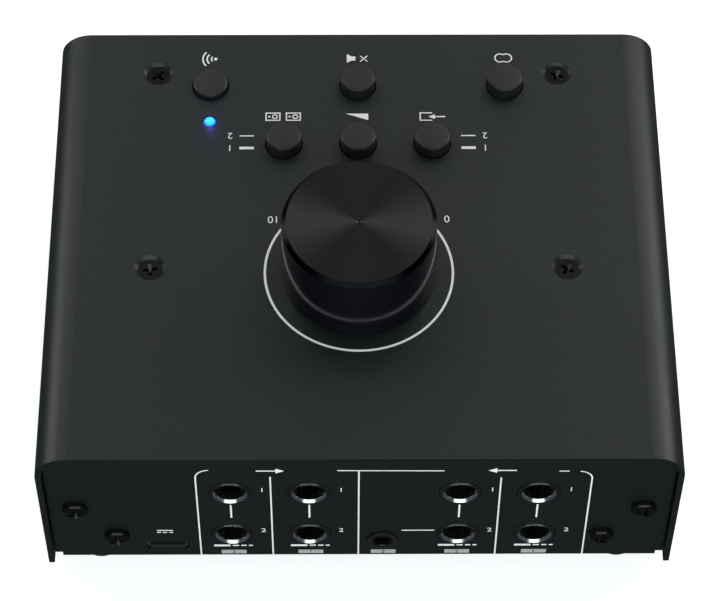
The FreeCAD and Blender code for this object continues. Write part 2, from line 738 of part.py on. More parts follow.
# Stacked 6.35 mm jacks: a moulded block per column, metal sleeves in the mouths, leaf contacts
sleeves = []
contacts = []
chamber_r = plug_chamber / 2
half = jack_width / 2
block_top = jack_levels[1] + jack_top_wall
block_back = jack_front - jack_length
for number, x in enumerate(jack_columns, 1):
    body = block(x, (jack_front + block_back) / 2, jack_width, jack_length, main_top, block_top)
    rear_top = [e for e in body.Edges if abs(e.Vertexes[0].Point.y - e.Vertexes[1].Point.y) < 1e-6
                and abs(e.Vertexes[0].Point.z - e.Vertexes[1].Point.z) < 1e-6
                and e.Vertexes[0].Point.z > main_top + 1]
    body = body.makeChamfer(jack_chamfer, rear_top)
    cuts = []
    waist = (jack_levels[0] + jack_levels[1]) / 2
    for sx in (1, -1):
        xs = sorted((x + sx * (half - jack_waist), x + sx * (half + 1)))
        cuts.append(box(xs[0], xs[1], block_back - 1, jack_front - jack_waist_setback, waist - jack_waist_height / 2,
                        waist + jack_waist_height / 2))
    for level, z in enumerate(jack_levels):
        body = body.fuse(rod_y(jack_nose_diameter, x, z, jack_front - 1, nose_face))
        seat_back = nose_face + sleeve_proud - sleeve_length
        cuts.append(rod_y(sleeve_outer + 2 * sleeve_seat_gap, x, z, seat_back, nose_face + 1))
        cuts.append(rod_y(plug_chamber, x, z, nose_face - plug_depth, seat_back + 1))
        mouth = nose_face + sleeve_proud
        sleeves.append(turned_y([(sleeve_bore / 2 + sleeve_bevel, mouth), (sleeve_outer / 2, mouth),
                                 (sleeve_outer / 2, seat_back), (sleeve_bore / 2, seat_back),
                                 (sleeve_bore / 2, mouth - sleeve_bevel)], x, z))
        # The upper jack's contacts stand further in, so that their legs clear the lower ones
        leg_step = level * (contact_leg_width + contact_leg_gap)
        for side, station in zip((1, -1), contact_stations):
            y0 = jack_front - station - leg_step
            w = contact_width / 2
            reach = chamber_r + contact_clear
            g = contact_slot_gap
            xs = sorted((x + side * (chamber_r - 0.6), x + side * (half + 1)))
            cuts.append(box(xs[0], xs[1], y0 - g, y0 + contact_length + g, z - w - g, z + w + g))
            t = contact_sheet
            tall = reach + contact_bulge
            lead = half + 0.05
            bulge, tip = y0 + 0.7 * contact_length, y0 + contact_length
            leaf = [(lead + t, y0), (tall, y0), (reach, bulge), (tall, tip), (tall + t, tip),
                    (reach + t * 1.1, bulge), (tall + t, y0 + t), (lead + t, y0 + t)]
            strip = face_of([V(x + side * a, b, z - w) for a, b in leaf]).extrude(V(0, 0, contact_width))
            xs = sorted((x + side * lead, x + side * (lead + t)))
            leg = box(xs[0], xs[1], y0, y0 + contact_leg_width, main_top, z + w)
            contacts.append(strip.fuse(leg).removeSplitter())
    nodes["jack_block_%d" % number] = body.cut(cuts).removeSplitter()
nodes["jack_sleeves"] = Part.makeCompound(sleeves)
nodes["jack_contacts"] = Part.makeCompound(contacts)

# 3.5 mm jack
mini_face = panel_out + mini_nose_proud
body = box(mini_x - mini_body_width / 2, mini_x + mini_body_width / 2,
           jack_front - mini_body_length, jack_front, main_top, main_top + mini_body_height)
body = body.fuse(rod_y(mini_nose_diameter, mini_x, mini_z, jack_front - 1, mini_face))
sleeve_back = mini_face + mini_sleeve_proud - mini_sleeve_length
body = body.cut([rod_y(mini_sleeve_outer + 2 * sleeve_seat_gap, mini_x, mini_z, sleeve_back, mini_face + 1),
                 rod_y(mini_chamber, mini_x, mini_z, mini_face - mini_depth, sleeve_back + 1)])
nodes["mini_jack_body"] = body.removeSplitter()
nodes["mini_jack_sleeve"] = turned_y([(mini_bore / 2, sleeve_back), (mini_sleeve_outer / 2, sleeve_back),
                                      (mini_sleeve_outer / 2, mini_face + mini_sleeve_proud),
                                      (mini_bore / 2 + 0.2, mini_face + mini_sleeve_proud),
                                      (mini_bore / 2, mini_face + mini_sleeve_proud - 0.2)], mini_x, mini_z)

# USB-C socket
usb_mouth = panel_out - usb_mouth_set_back
usb_back = usb_mouth - usb_length
inside_width, inside_height = usb_width - 2 * usb_wall, usb_height - 2 * usb_wall
shell = stadium_y(usb_width, usb_height, usb_x, usb_z, usb_back, usb_mouth)
nodes["usb_shell"] = shell.cut(
    stadium_y(inside_width, inside_height, usb_x, usb_z, usb_back - 1, usb_mouth + 1))
core = stadium_y(inside_width - 2 * usb_core_gap, inside_height - 2 * usb_core_gap, usb_x, usb_z,
                 usb_back, usb_back + usb_core_length)
tongue = block(usb_x, 0, usb_tongue_width, usb_tongue_length, usb_z - usb_tongue_thickness / 2,
               usb_z + usb_tongue_thickness / 2)
tongue.translate(V(0, usb_back + usb_core_length + usb_tongue_length / 2, 0))
nodes["usb_tongue"] = core.fuse(tongue).removeSplitter()

# Amplifier chips, capacitors and the radio module on the connector board
chips = []
for x, y in chip_rows:
    chip = block(x, y, chip_width, chip_length, main_top, main_top + chip_height)
    feet_width = chip_width + 2 * chip_lead
    pads = [block(x, y + k * 1.27, feet_width, 0.42, main_top, main_top + 0.25) for k in (-1, 0, 1)]
    chips.append(chip.fuse(pads).removeSplitter())
nodes["amplifier_chips"] = Part.makeCompound(chips)
cans = []
for x, y in capacitor_spots:
    r = capacitor_diameter / 2
    base = block(x, y, capacitor_diameter, capacitor_diameter, main_top, main_top + capacitor_base)
    waist, groove, top = main_top + capacitor_waist, capacitor_groove, main_top + capacitor_height
    can = turned([(0, main_top), (r, main_top), (r, waist - groove), (r - groove, waist),
                  (r, waist + groove), (r, top - 0.4), (r - 0.4, top), (0, top)], x, y)
    cans.append(can.fuse(base).removeSplitter())
nodes["capacitors"] = Part.makeCompound(cans)
nodes["radio_module"] = block(radio_x, radio_y, radio_width, radio_length, main_top, main_top + radio_board)
can_y = radio_y + (radio_length - radio_can_length) / 2 - 1
can_low = main_top + radio_board
can = block(radio_x, can_y, radio_can_width, radio_can_length, can_low, can_low + radio_can_height)
nodes["radio_shield"] = can.cut(block(radio_x, can_y, radio_can_width - 2 * radio_can_wall,
                                      radio_can_length - 2 * radio_can_wall, can_low - 1,
                                      can_low + radio_can_height - radio_can_wall))

# Flat cable between the two boards, with a connector at each end
plug_low = main_top + ribbon_plug_height
plug_high = control_bottom - ribbon_plug_height
upper_y = ribbon_lower_y - ribbon_shift
nodes["ribbon_connectors"] = Part.makeCompound([
    block(ribbon_x, ribbon_lower_y, ribbon_plug_width, ribbon_plug_depth, main_top, plug_low),
    block(ribbon_x, upper_y, ribbon_plug_width, ribbon_plug_depth, plug_high, control_bottom)])
rise = plug_high - plug_low
bend = ribbon_shift / 2
run = (rise - ribbon_shift) / 2
t = ribbon_thickness / 2
x0 = ribbon_x - ribbon_width / 2
low_centre = (ribbon_lower_y - bend, plug_low + run)
high_centre = (upper_y + bend, plug_high - run)


def on(centre, radius, degrees):
    a = math.radians(degrees)
    return V(x0, centre[0] + radius * math.cos(a), centre[1] + radius * math.sin(a))


outer_low, inner_low = bend + t, bend - t
edges = [
    Part.LineSegment(V(x0, ribbon_lower_y + t, plug_low), on(low_centre, outer_low, 0)),
    Part.Arc(on(low_centre, outer_low, 0), on(low_centre, outer_low, 45), on(low_centre, outer_low, 90)),
    Part.Arc(on(high_centre, inner_low, 270), on(high_centre, inner_low, 225),
             on(high_centre, inner_low, 180)),
    Part.LineSegment(on(high_centre, inner_low, 180), V(x0, upper_y + t, plug_high)),
    Part.LineSegment(V(x0, upper_y + t, plug_high), V(x0, upper_y - t, plug_high)),
    Part.LineSegment(V(x0, upper_y - t, plug_high), on(high_centre, outer_low, 180)),
    Part.Arc(on(high_centre, outer_low, 180), on(high_centre, outer_low, 225),
             on(high_centre, outer_low, 270)),
    Part.Arc(on(low_centre, inner_low, 90), on(low_centre, inner_low, 45), on(low_centre, inner_low, 0)),
    Part.LineSegment(on(low_centre, inner_low, 0), V(x0, ribbon_lower_y - t, plug_low)),
    Part.LineSegment(V(x0, ribbon_lower_y - t, plug_low), V(x0, ribbon_lower_y + t, plug_low)),
]
nodes["ribbon_cable"] = Part.Face(Part.Wire([e.toShape() for e in edges])).extrude(V(ribbon_width, 0, 0))

os.makedirs("parts", exist_ok=True)
for name, shape in nodes.items():
    shape.exportStep("parts/%s.step" % name)
    print(name, "solids", len(shape.Solids), "volume", round(shape.Volume, 2), "valid", shape.isValid())
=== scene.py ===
import json
import math

import bmesh
import bpy
from mathutils import Matrix, Vector


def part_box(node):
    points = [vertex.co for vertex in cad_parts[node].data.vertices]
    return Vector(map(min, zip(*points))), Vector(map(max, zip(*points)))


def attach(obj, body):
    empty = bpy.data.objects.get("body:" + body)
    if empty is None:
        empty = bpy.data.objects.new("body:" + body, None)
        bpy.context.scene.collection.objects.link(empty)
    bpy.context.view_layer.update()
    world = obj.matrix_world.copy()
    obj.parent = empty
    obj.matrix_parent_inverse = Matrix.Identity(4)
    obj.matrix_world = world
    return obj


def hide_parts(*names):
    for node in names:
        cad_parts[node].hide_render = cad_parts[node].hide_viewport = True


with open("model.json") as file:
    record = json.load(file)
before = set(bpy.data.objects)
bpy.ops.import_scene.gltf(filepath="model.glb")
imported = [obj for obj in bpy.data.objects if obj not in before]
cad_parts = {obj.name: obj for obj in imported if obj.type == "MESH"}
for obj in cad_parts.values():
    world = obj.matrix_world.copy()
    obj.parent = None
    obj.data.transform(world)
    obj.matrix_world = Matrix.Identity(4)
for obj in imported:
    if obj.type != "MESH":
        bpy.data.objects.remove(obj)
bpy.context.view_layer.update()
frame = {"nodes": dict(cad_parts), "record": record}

# Metres. The rear panel faces +Y, the user sits at -Y, and +X is the user's right.
MM = 0.001
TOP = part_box("top_cover")[1].z
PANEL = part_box("base_tray")[1].y
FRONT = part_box("base_tray")[0].y
KNOB_LOW, KNOB_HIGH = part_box("knob_shell")
KNOB = Vector(((KNOB_LOW.x + KNOB_HIGH.x) / 2, (KNOB_LOW.y + KNOB_HIGH.y) / 2, KNOB_HIGH.z))
KNOB_REACH = (KNOB_HIGH.x - KNOB_LOW.x) / 2
LAMP_LOW, LAMP_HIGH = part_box("status_led")
LAMP = Vector(((LAMP_LOW.x + LAMP_HIGH.x) / 2, (LAMP_LOW.y + LAMP_HIGH.y) / 2, LAMP_HIGH.z))
INK = 0.02 * MM

# Noise values mostly lie between these two
NOISE_LOW, NOISE_HIGH = 0.3, 0.7
# A finish changes slowly over this length
SLOW = 25 * MM

# Directions and depths that tell the knob's faces apart
FACING = 0.95
LEANING = 0.3
TOP_DEPTH = 0.1 * MM
DISH_DEPTH = 0.5 * MM
DISH_REACH = 1.0 * MM
RIM_DEPTH = 1.0 * MM
RIM_WIDTH = 1.5 * MM

# Screw sizes
SHANK = 1.45 * MM
TIP = 1.25 * MM
TIP_BEVEL = 0.3 * MM
PAN_RADIUS, PAN_HEIGHT, PAN_RIM = 2.8 * MM, 1.9 * MM, 0.6 * MM
FLAT_RADIUS = 2.75 * MM
RECESS_LIFT = 0.6 * MM
# Two screws of one node stand further apart than this
APART = 14 * MM
# Degrees at which each recess came to rest when its screw was tight
RESTING = [12, 57, -25, 40, 8, 70, -33]


# Materials

def new_material(name):
    mat = bpy.data.materials.new(name)
    mat.use_nodes = True
    nodes = mat.node_tree.nodes
    nodes.clear()
    out = nodes.new("ShaderNodeOutputMaterial")
    shader = nodes.new("ShaderNodeBsdfPrincipled")
    mat.node_tree.links.new(shader.outputs[0], out.inputs[0])
    return mat, shader


def add(mat, kind, **inputs):
    node = mat.node_tree.nodes.new(kind)
    for key, value in inputs.items():
        key = key.replace("_", " ")
        if hasattr(value, "links"):
            mat.node_tree.links.new(value, node.inputs[key])
        else:
            node.inputs[key].default_value = value
    return node


def link(mat, source, target):
    mat.node_tree.links.new(source, target)


def grain(mat, size, detail=2.0, stretch=None):
    """Noise with features of that size in metres, in the object's own space."""
    place = add(mat, "ShaderNodeTexCoord").outputs["Object"]
    if stretch:
        scale = add(mat, "ShaderNodeMapping", Vector=place)
        scale.inputs["Scale"].default_value = stretch
        place = scale.outputs[0]
    return add(mat, "ShaderNodeTexNoise", Vector=place, Scale=1.0 / size, Detail=detail).outputs["Fac"]


def spread(mat, value, low, high):
    """Turns noise into a number between low and high."""
    node = mat.node_tree.nodes.new("ShaderNodeMapRange")
    link(mat, value, node.inputs["Value"])
    node.inputs["From Min"].default_value = NOISE_LOW
    node.inputs["From Max"].default_value = NOISE_HIGH
    node.inputs["To Min"].default_value = low
    node.inputs["To Max"].default_value = high
    return node.outputs["Result"]


def tint(mat, value, dark, light):
    """Turns noise into a colour between dark and light."""
    ramp = mat.node_tree.nodes.new("ShaderNodeValToRGB")
    link(mat, value, ramp.inputs[0])
    low, high = ramp.color_ramp.elements
    low.position, high.position = NOISE_LOW, NOISE_HIGH
    low.color, high.color = (*dark, 1), (*light, 1)
    return ramp.outputs[0]


def raised(mat, shader, height, depth, soften=0.0):
    """Bump of that depth in metres; soften rounds the edges of the solid for the light."""
    bump = add(mat, "ShaderNodeBump", Height=height, Distance=depth, Strength=1.0)
    if soften:
        edge = add(mat, "ShaderNodeBevel", Radius=soften)
        link(mat, edge.outputs[0], bump.inputs["Normal"])
    link(mat, bump.outputs[0], shader.inputs["Normal"])


def finish_of(name, color, rough, metallic=0.0, size=0.4, depth=0.01, change=0.12,
              stretch=None, soften=0.0, level=None):
    """A finish with a fine surface of that size and depth in millimetres, and slow changes across it."""
    mat, shader = new_material(name)
    shader.inputs["Metallic"].default_value = metallic
    if level is not None:
        shader.inputs["Specular IOR Level"].default_value = level
    slow = grain(mat, SLOW, 3.0)
    fine = grain(mat, size * MM, 3.0, stretch)
    dark = [c * (1 - change) for c in color]
    light = [min(1.0, c * (1 + change)) for c in color]
    link(mat, tint(mat, fine, dark, light), shader.inputs["Base Color"])
    link(mat, spread(mat, slow, rough * 0.94, rough * 1.06), shader.inputs["Roughness"])
    raised(mat, shader, fine, depth * MM, soften=soften * MM)
    return mat


def powder_coat():
    """Matt black powder coat: close pebbles over a soft orange peel."""
    mat, shader = new_material("powder_coat_black")
    pebble_size, peel_size, slow_size = 0.42 * MM, 1.7 * MM, 35 * MM
    pebble_share, height = 0.55, 0.045 * MM
    pebble = grain(mat, pebble_size, 4.0)
    peel = grain(mat, peel_size, 2.0)
    slow = grain(mat, slow_size, 3.0)
    link(mat, tint(mat, pebble, (0.0034, 0.0062, 0.0058), (0.0066, 0.0110, 0.0104)),
         shader.inputs["Base Color"])
    link(mat, spread(mat, slow, 0.41, 0.47), shader.inputs["Roughness"])
    both = add(mat, "ShaderNodeMath")
    both.operation = "MULTIPLY_ADD"
    link(mat, pebble, both.inputs[0])
    both.inputs[1].default_value = pebble_share
    link(mat, peel, both.inputs[2])
    raised(mat, shader, both.outputs[0], height, soften=0.25 * MM)
    return mat


def spun(name, color, rough, rings, depth, turning):
    """Turned aluminium: rings round the knob's axis, with the light drawn across them."""
    mat, shader = new_material(name)
    shader.inputs["Metallic"].default_value = 1.0
    shader.inputs["Anisotropic"].default_value = turning
    shader.inputs["Anisotropic Rotation"].default_value = 0.25
    tangent = mat.node_tree.nodes.new("ShaderNodeTangent")
    tangent.direction_type = "RADIAL"
    tangent.axis = "Z"
    link(mat, tangent.outputs[0], shader.inputs["Tangent"])
    place = add(mat, "ShaderNodeTexCoord").outputs["Object"]
    away = add(mat, "ShaderNodeVectorMath")
    away.operation = "SUBTRACT"
    link(mat, place, away.inputs[0])
    away.inputs[1].default_value = (KNOB.x, KNOB.y, 0)
    flat = add(mat, "ShaderNodeVectorMath")
    flat.operation = "MULTIPLY"
    link(mat, away.outputs[0], flat.inputs[0])
    flat.inputs[1].default_value = (1, 1, 0)
    radius = add(mat, "ShaderNodeVectorMath")
    radius.operation = "LENGTH"
    link(mat, flat.outputs[0], radius.inputs[0])
    line = add(mat, "ShaderNodeTexNoise", Scale=1.0 / (rings * MM), Detail=2.0)
    line.noise_dimensions = "1D"
    link(mat, radius.outputs["Value"], line.inputs["W"])
    link(mat, tint(mat, line.outputs[0], [c * 0.86 for c in color], [c * 1.1 for c in color]),
         shader.inputs["Base Color"])
    link(mat, spread(mat, line.outputs[0], rough * 0.9, rough * 1.1), shader.inputs["Roughness"])
    raised(mat, shader, line.outputs[0], depth * MM)
    return mat


def lamp():
    """The lit lens: a pale core inside a blue rim."""
    mat, shader = new_material("lamp_blue")
    lens_reach, core_share = 1.7 * MM, 0.55
    place = add(mat, "ShaderNodeTexCoord").outputs["Object"]
    away = add(mat, "ShaderNodeVectorMath")
    away.operation = "DISTANCE"
    link(mat, place, away.inputs[0])
    away.inputs[1].default_value = LAMP
    reach = mat.node_tree.nodes.new("ShaderNodeMapRange")
    link(mat, away.outputs["Value"], reach.inputs["Value"])
    reach.inputs["From Max"].default_value = lens_reach
    ramp = mat.node_tree.nodes.new("ShaderNodeValToRGB")
    link(mat, reach.outputs["Result"], ramp.inputs[0])
    core, rim = ramp.color_ramp.elements
    core.position = core_share
    core.color, rim.color = (0.004, 0.50, 0.78, 1), (0.01, 0.02, 1.0, 1)
    link(mat, ramp.outputs[0], shader.inputs["Emission Color"])
    shader.inputs["Emission Strength"].default_value = 1.7
    shader.inputs["Base Color"].default_value = (0.02, 0.08, 0.6, 1)
    shader.inputs["Roughness"].default_value = 0.12
    return mat


def laminate():
    """Circuit board: dark green mask over faint copper runs."""
    mat, shader = new_material("board_laminate_green")
    place = add(mat, "ShaderNodeTexCoord").outputs["Object"]
    runs = add(mat, "ShaderNodeTexBrick", Vector=place, Scale=180.0)
    runs.inputs["Color1"].default_value = (0.008, 0.05, 0.02, 1)
    runs.inputs["Color2"].default_value = (0.010, 0.065, 0.026, 1)
    runs.inputs["Mortar"].default_value = (0.02, 0.11, 0.045, 1)
    runs.inputs["Mortar Size"].default_value = 0.03
    link(mat, runs.outputs["Color"], shader.inputs["Base Color"])
    link(mat, spread(mat, grain(mat, 6 * MM), 0.26, 0.34), shader.inputs["Roughness"])
    raised(mat, shader, runs.outputs["Fac"], 0.03 * MM)
    return mat


FINISHES = {
    "powder_coated_steel": powder_coat(),
    "plated_steel": finish_of("zinc_plate", (0.55, 0.55, 0.53), 0.32, 1.0, size=0.5, depth=0.01),
    "black_screw_steel": finish_of("black_oxide_screw", (0.008, 0.008, 0.009), 0.20, 0.5,
                                   size=0.3, depth=0.006, soften=0.06),
    "shaft_steel": finish_of("ground_steel", (0.60, 0.60, 0.60), 0.25, 1.0, size=0.2,
                             depth=0.004, stretch=(1, 1, 9)),
    "chrome_brass": finish_of("chrome_plate", (0.80, 0.80, 0.81), 0.13, 1.0, size=0.6,
                              depth=0.003, change=0.04, soften=0.08),
    "contact_bronze": finish_of("phosphor_bronze", (0.62, 0.40, 0.20), 0.28, 1.0, size=0.5, depth=0.006),
    "black_plastic": finish_of("moulded_black", (0.012, 0.012, 0.013), 0.36, size=0.25,
                               depth=0.008, soften=0.1),
    "button_plastic": finish_of("button_black", (0.012, 0.013, 0.013), 0.40, size=0.22,
                                depth=0.010, soften=0.6),
    "switch_plastic": finish_of("switch_grey", (0.06, 0.06, 0.065), 0.45, size=0.3, depth=0.01),
    "white_plastic": finish_of("spacer_white", (0.72, 0.71, 0.68), 0.45, size=0.4, depth=0.008),
    "board_laminate": laminate(),
    "chip_epoxy": finish_of("chip_epoxy_black", (0.02, 0.02, 0.021), 0.5, size=0.15, depth=0.008),
    "capacitor_aluminium": finish_of("can_aluminium", (0.72, 0.72, 0.73), 0.28, 1.0, size=0.4, depth=0.006),
    "rubber": finish_of("foot_rubber", (0.014, 0.014, 0.014), 0.72, size=0.35, depth=0.02, soften=0.15),
    "ribbon_sleeve": finish_of("ribbon_grey", (0.35, 0.36, 0.38), 0.5, size=0.6, depth=0.02,
                               stretch=(2.2, 0.1, 0.1)),
    "blue_lens": lamp(),
}
KNOB_SIDE = finish_of("knob_polished_side", (0.0015, 0.0020, 0.0048), 0.12, size=0.5, depth=0.0012,
                      change=0.05, stretch=(0.3, 0.3, 6), level=0.62)
KNOB_TOP = spun("knob_spun_top", (0.044, 0.046, 0.047), 0.30, 0.16, 0.003, 0.9)
# Painted shade: the cut rim and the step are darker copies of the spun top's metal, kept dark where light
# falls on them.
KNOB_EDGE_PAINTED_SHADE = spun("knob_cut_edge_painted_shade", (0.0045, 0.0050, 0.0058), 0.20, 0.2, 0.001, 0.0)
KNOB_STEP_PAINTED_SHADE = spun("knob_cut_step_painted_shade", (0.008, 0.009, 0.012), 0.22, 0.2, 0.001, 0.0)
WHITE_INK = finish_of("print_white", (0.90, 0.88, 0.86), 0.55, size=0.12, depth=0.004, change=0.06)
# Painted shade: the sleeves' chrome end faces get a darker copy of the chrome, a painted dark reflection.
SLEEVE_FACE_PAINTED_DARK = finish_of("chrome_painted_dark_reflection", (0.12, 0.12, 0.125), 0.22, 1.0, size=0.6, depth=0.003)
GREY_INK = finish_of("print_grey", (0.42, 0.42, 0.42), 0.55, size=0.12, depth=0.004, change=0.06)


def knob_finish(face):
    """Which of the knob's finishes a face has: 0 side, 1 spun top, 2 rim, 3 step; the rim and the step
    carry painted shade, much darker copies of the spun metal.
    """
    depth = KNOB.z - face.center.z
    out = (face.center - KNOB).xy.length
    in_dish = depth < DISH_DEPTH and out < DISH_REACH
    if face.normal.z > FACING and (depth < TOP_DEPTH or in_dish):
        return 1
    if face.normal.z > LEANING and depth < RIM_DEPTH and out > KNOB_REACH - RIM_WIDTH:
        return 2
    return 3 if face.normal.z > LEANING and depth > RIM_DEPTH else 0


def sleeve_painted_dark_face(face):
    """0 on the bright bevel and bore of a sleeve, 1 on its end face, where the same chrome is painted dark:
    painted shade standing in for a dark reflection.
    """
    return 1 if face.normal.y > 0.9 else 0


slots = {s["node"]: s["material_slot"] for s in frame["record"]["subparts"]}
special = {
    "knob_shell": ((KNOB_SIDE, KNOB_TOP, KNOB_EDGE_PAINTED_SHADE, KNOB_STEP_PAINTED_SHADE), knob_finish),
    "jack_sleeves": ((FINISHES[slots["jack_sleeves"]], SLEEVE_FACE_PAINTED_DARK), sleeve_painted_dark_face),
    "knob_hub": ((FINISHES["black_plastic"],), None),
}
for name, piece in frame["nodes"].items():
    piece.data.materials.clear()
    finishes, choose = special.get(name) or ((FINISHES[slots[name]],), None)
    for finish in finishes:
        piece.data.materials.append(finish)
    if choose:
        for face in piece.data.polygons:
            face.material_index = choose(face)


# Mesh helpers

def piece_from(name, bm, material, body="housing", sharp=35):
    mesh = bpy.data.meshes.new(name)
    bmesh.ops.recalc_face_normals(bm, faces=bm.faces)
    bm.to_mesh(mesh)
    bm.free()
    for face in mesh.polygons:
        face.use_smooth = True
    mesh.set_sharp_from_angle(angle=math.radians(sharp))
    mesh.materials.append(material)
    obj = bpy.data.objects.new(name, mesh)
    bpy.context.scene.collection.objects.link(obj)
    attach(obj, body)
    return obj


def turned(profile, steps=48):
    """A closed solid of revolution about Z from (radius, z) points that start and end on the axis."""
    bm = bmesh.new()
    rings = []
    for r, z in profile:
        if r < 1e-9:
            rings.append([bm.verts.new((0, 0, z))])
        else:
            turn = [2 * math.pi * k / steps for k in range(steps)]
            rings.append([bm.verts.new((r * math.cos(a), r * math.sin(a), z)) for a in turn])
    for a, b in zip(rings, rings[1:]):
        for k in range(steps):
            n = (k + 1) % steps
            corners = [a[k % len(a)], a[n % len(a)], b[n % len(b)], b[k % len(b)]]
            once = list(dict.fromkeys(corners))
            if len(once) > 2:
                bm.faces.new(once)
    bmesh.ops.recalc_face_normals(bm, faces=bm.faces)
    return bm


def wing(length, width, depth, top):
    """One bar of the driver recess, narrower at the bottom."""
    bm = bmesh.new()
    levels = [(top, length / 2, width / 2), (-0.1 * depth, length / 2, width / 2),
              (-0.72 * depth, length * 0.24, width * 0.36), (-depth, 0.12 * MM, 0.10 * MM)]
    rings = []
    for z, a, b in levels:
        rings.append([bm.verts.new(p) for p in ((a, b, z), (-a, b, z), (-a, -b, z), (a, -b, z))])
    bm.faces.new(rings[0])
    bm.faces.new(rings[-1])
    for low, high in zip(rings, rings[1:]):
        for k in range(4):
            bm.faces.new((low[k], low[(k + 1) % 4], high[(k + 1) % 4], high[k]))
    bmesh.ops.recalc_face_normals(bm, faces=bm.faces)
    return bm


def cut(bm, cutters):
    """The first solid less the cutters, as a new bmesh."""
    def as_object(part):
        mesh = bpy.data.meshes.new("cut")
        part.to_mesh(mesh)
        part.free()
        obj = bpy.data.objects.new("cut", mesh)
        bpy.context.scene.collection.objects.link(obj)
        return obj
    base = as_object(bm)
    tools = [as_object(c) for c in cutters]
    for tool in tools:
        step = base.modifiers.new("cut", "BOOLEAN")
        step.operation = "DIFFERENCE"
        step.solver = "EXACT"
        step.object = tool
    bpy.context.view_layer.update()
    seen = base.evaluated_get(bpy.context.evaluated_depsgraph_get())
    out = bmesh.new()
    out.from_mesh(seen.to_mesh())
    for obj in [base] + tools:
        bpy.data.objects.remove(obj)
    return out


def placed(bm, places):
    """Copies of a bmesh at several places, in one bmesh."""
    mesh = bpy.data.meshes.new("one")
    bm.to_mesh(mesh)
    bm.free()
    out = bmesh.new()
    for place in places:
        before = len(out.verts)
        out.from_mesh(mesh)
        out.verts.ensure_lookup_table()
        bmesh.ops.transform(out, matrix=place, verts=out.verts[before:])
    bpy.data.meshes.remove(mesh)
    return out


# Cross-recess screws. A head faces +Z here, its seat at z = 0, and is then turned to its place.

def crosshead(profile, length, width, depth, height):
    """A screw of that profile, with a cross recess sunk into its head from that height."""
    wings = [wing(length, width, depth, RECESS_LIFT) for k in range(2)]
    bmesh.ops.rotate(wings[1], verts=wings[1].verts, matrix=Matrix.Rotation(math.pi / 2, 3, "Z"))
    for one in wings:
        bmesh.ops.translate(one, verts=one.verts, vec=(0, 0, height))
    return cut(turned(profile), wings)


def shank(length, top):
    """Outline of the threaded part, from the middle of its tip up to the head."""
    return [(0, -length), (TIP, -length), (SHANK, TIP_BEVEL - length), (SHANK, top)]


def pan_head():
    r = PAN_RADIUS
    profile = shank(6 * MM, 0) + [(r - 0.1 * MM, 0), (r, 0.1 * MM), (r, PAN_RIM)]
    for k in range(1, 9):
        a = math.pi / 2 * k / 8
        profile.append((r * (0.42 + 0.58 * math.cos(a)),
                        PAN_RIM + (PAN_HEIGHT - PAN_RIM) * math.sin(a)))
    profile.append((0, PAN_HEIGHT))
    return crosshead(profile, 3.2 * MM, 0.95 * MM, 1.5 * MM, PAN_HEIGHT)


def flat_head():
    r = FLAT_RADIUS
    profile = shank(8 * MM, 1.35 * MM - r) + [
        (r - 0.12 * MM, -0.16 * MM), (r, -0.1 * MM), (r, -0.04 * MM), (r - 0.06 * MM, 0), (0, 0)]
    return crosshead(profile, 3.3 * MM, 0.85 * MM, 1.6 * MM, 0)


def spots(node):
    """Low and high corner of each separate solid of a CAD node."""
    found = []
    for v in frame["nodes"][node].data.vertices:
        for group in found:
            if (group[0] - v.co).length < APART:
                group.append(v.co.copy())
                break
        else:
            found.append([v.co.copy()])
    return [[Vector([side(p[k] for p in group) for k in range(3)]) for side in (min, max)]
            for group in found]


def on_panel(low, high):
    """Where a pan head sits: on the rear panel, or on the front one."""
    rear = high.y > 0
    face = Matrix.Rotation(math.radians(-90 if rear else 90), 4, "X")
    seat = ((low.x + high.x) / 2, PANEL if rear else FRONT, (low.z + high.z) / 2)
    return Matrix.Translation(seat) @ face


def on_cover(low, high):
    return Matrix.Translation(((low.x + high.x) / 2, (low.y + high.y) / 2, high.z))


for node, head, seat, first in (("case_screws", pan_head, on_panel, 0),
                                ("jack_bracket_screws", pan_head, on_panel, 0),
                                ("top_cover_screws", flat_head, on_cover, 3)):
    places = [seat(*corners) @ Matrix.Rotation(math.radians(RESTING[first + k]), 4, "Z")
              for k, corners in enumerate(spots(node))]
    screws = piece_from(node + "_crosshead", placed(head(), places), FINISHES["black_screw_steel"],
                        sharp=28)
    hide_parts(node)


# Printed marks. Shapes are drawn flat in millimetres as u to the right and v up for the reader.

def stroke(bm, points, width, closed=False):
    """A line of that width through the points, with mitred corners."""
    pts = [Vector(p) for p in points]
    n = len(pts)
    sides = []
    for k, p in enumerate(pts):
        before = pts[k - 1] if k or closed else None
        after = pts[(k + 1) % n] if k < n - 1 or closed else None
        d0 = (p - before).normalized() if before is not None else (after - p).normalized()
        d1 = (after - p).normalized() if after is not None else d0
        normal = Vector((-(d0 + d1).y, (d0 + d1).x)).normalized()
        reach = width / 2 / max(0.35, normal.dot(Vector((-d1.y, d1.x))))
        sides.append([bm.verts.new(((p + s * normal * reach).x, (p + s * normal * reach).y, 0))
                      for s in (1, -1)])
    for k in range(n if closed else n - 1):
        a, b = sides[k], sides[(k + 1) % n]
        bm.faces.new((a[0], a[1], b[1], b[0]))


def shape(bm, points):
    bm.faces.new([bm.verts.new((u, v, 0)) for u, v in points])


def around(u, v, r, start, end, steps=24):
    """Points on a circle; degrees run anticlockwise from the right."""
    turn = [math.radians(start + (end - start) * k / steps) for k in range(steps + 1)]
    return [(u + r * math.cos(a), v + r * math.sin(a)) for a in turn]


def ring(bm, u, v, r, width, steps):
    stroke(bm, around(u, v, r, 0, 360, steps)[:-1], width, closed=True)


def dot(bm, u, v, r, steps):
    shape(bm, around(u, v, r, 0, 360, steps)[:-1])


def moved(points, u, v):
    return [(u + a, v + b) for a, b in points]


def arrow(bm, tail, neck, tip, v, half, width):
    """An arrow along u, with a head of that half height between neck and tip."""
    side = half if tip > neck else -half
    stroke(bm, [(tail, v), (neck, v)], width)
    shape(bm, [(neck, v - side), (tip, v), (neck, v + side)])


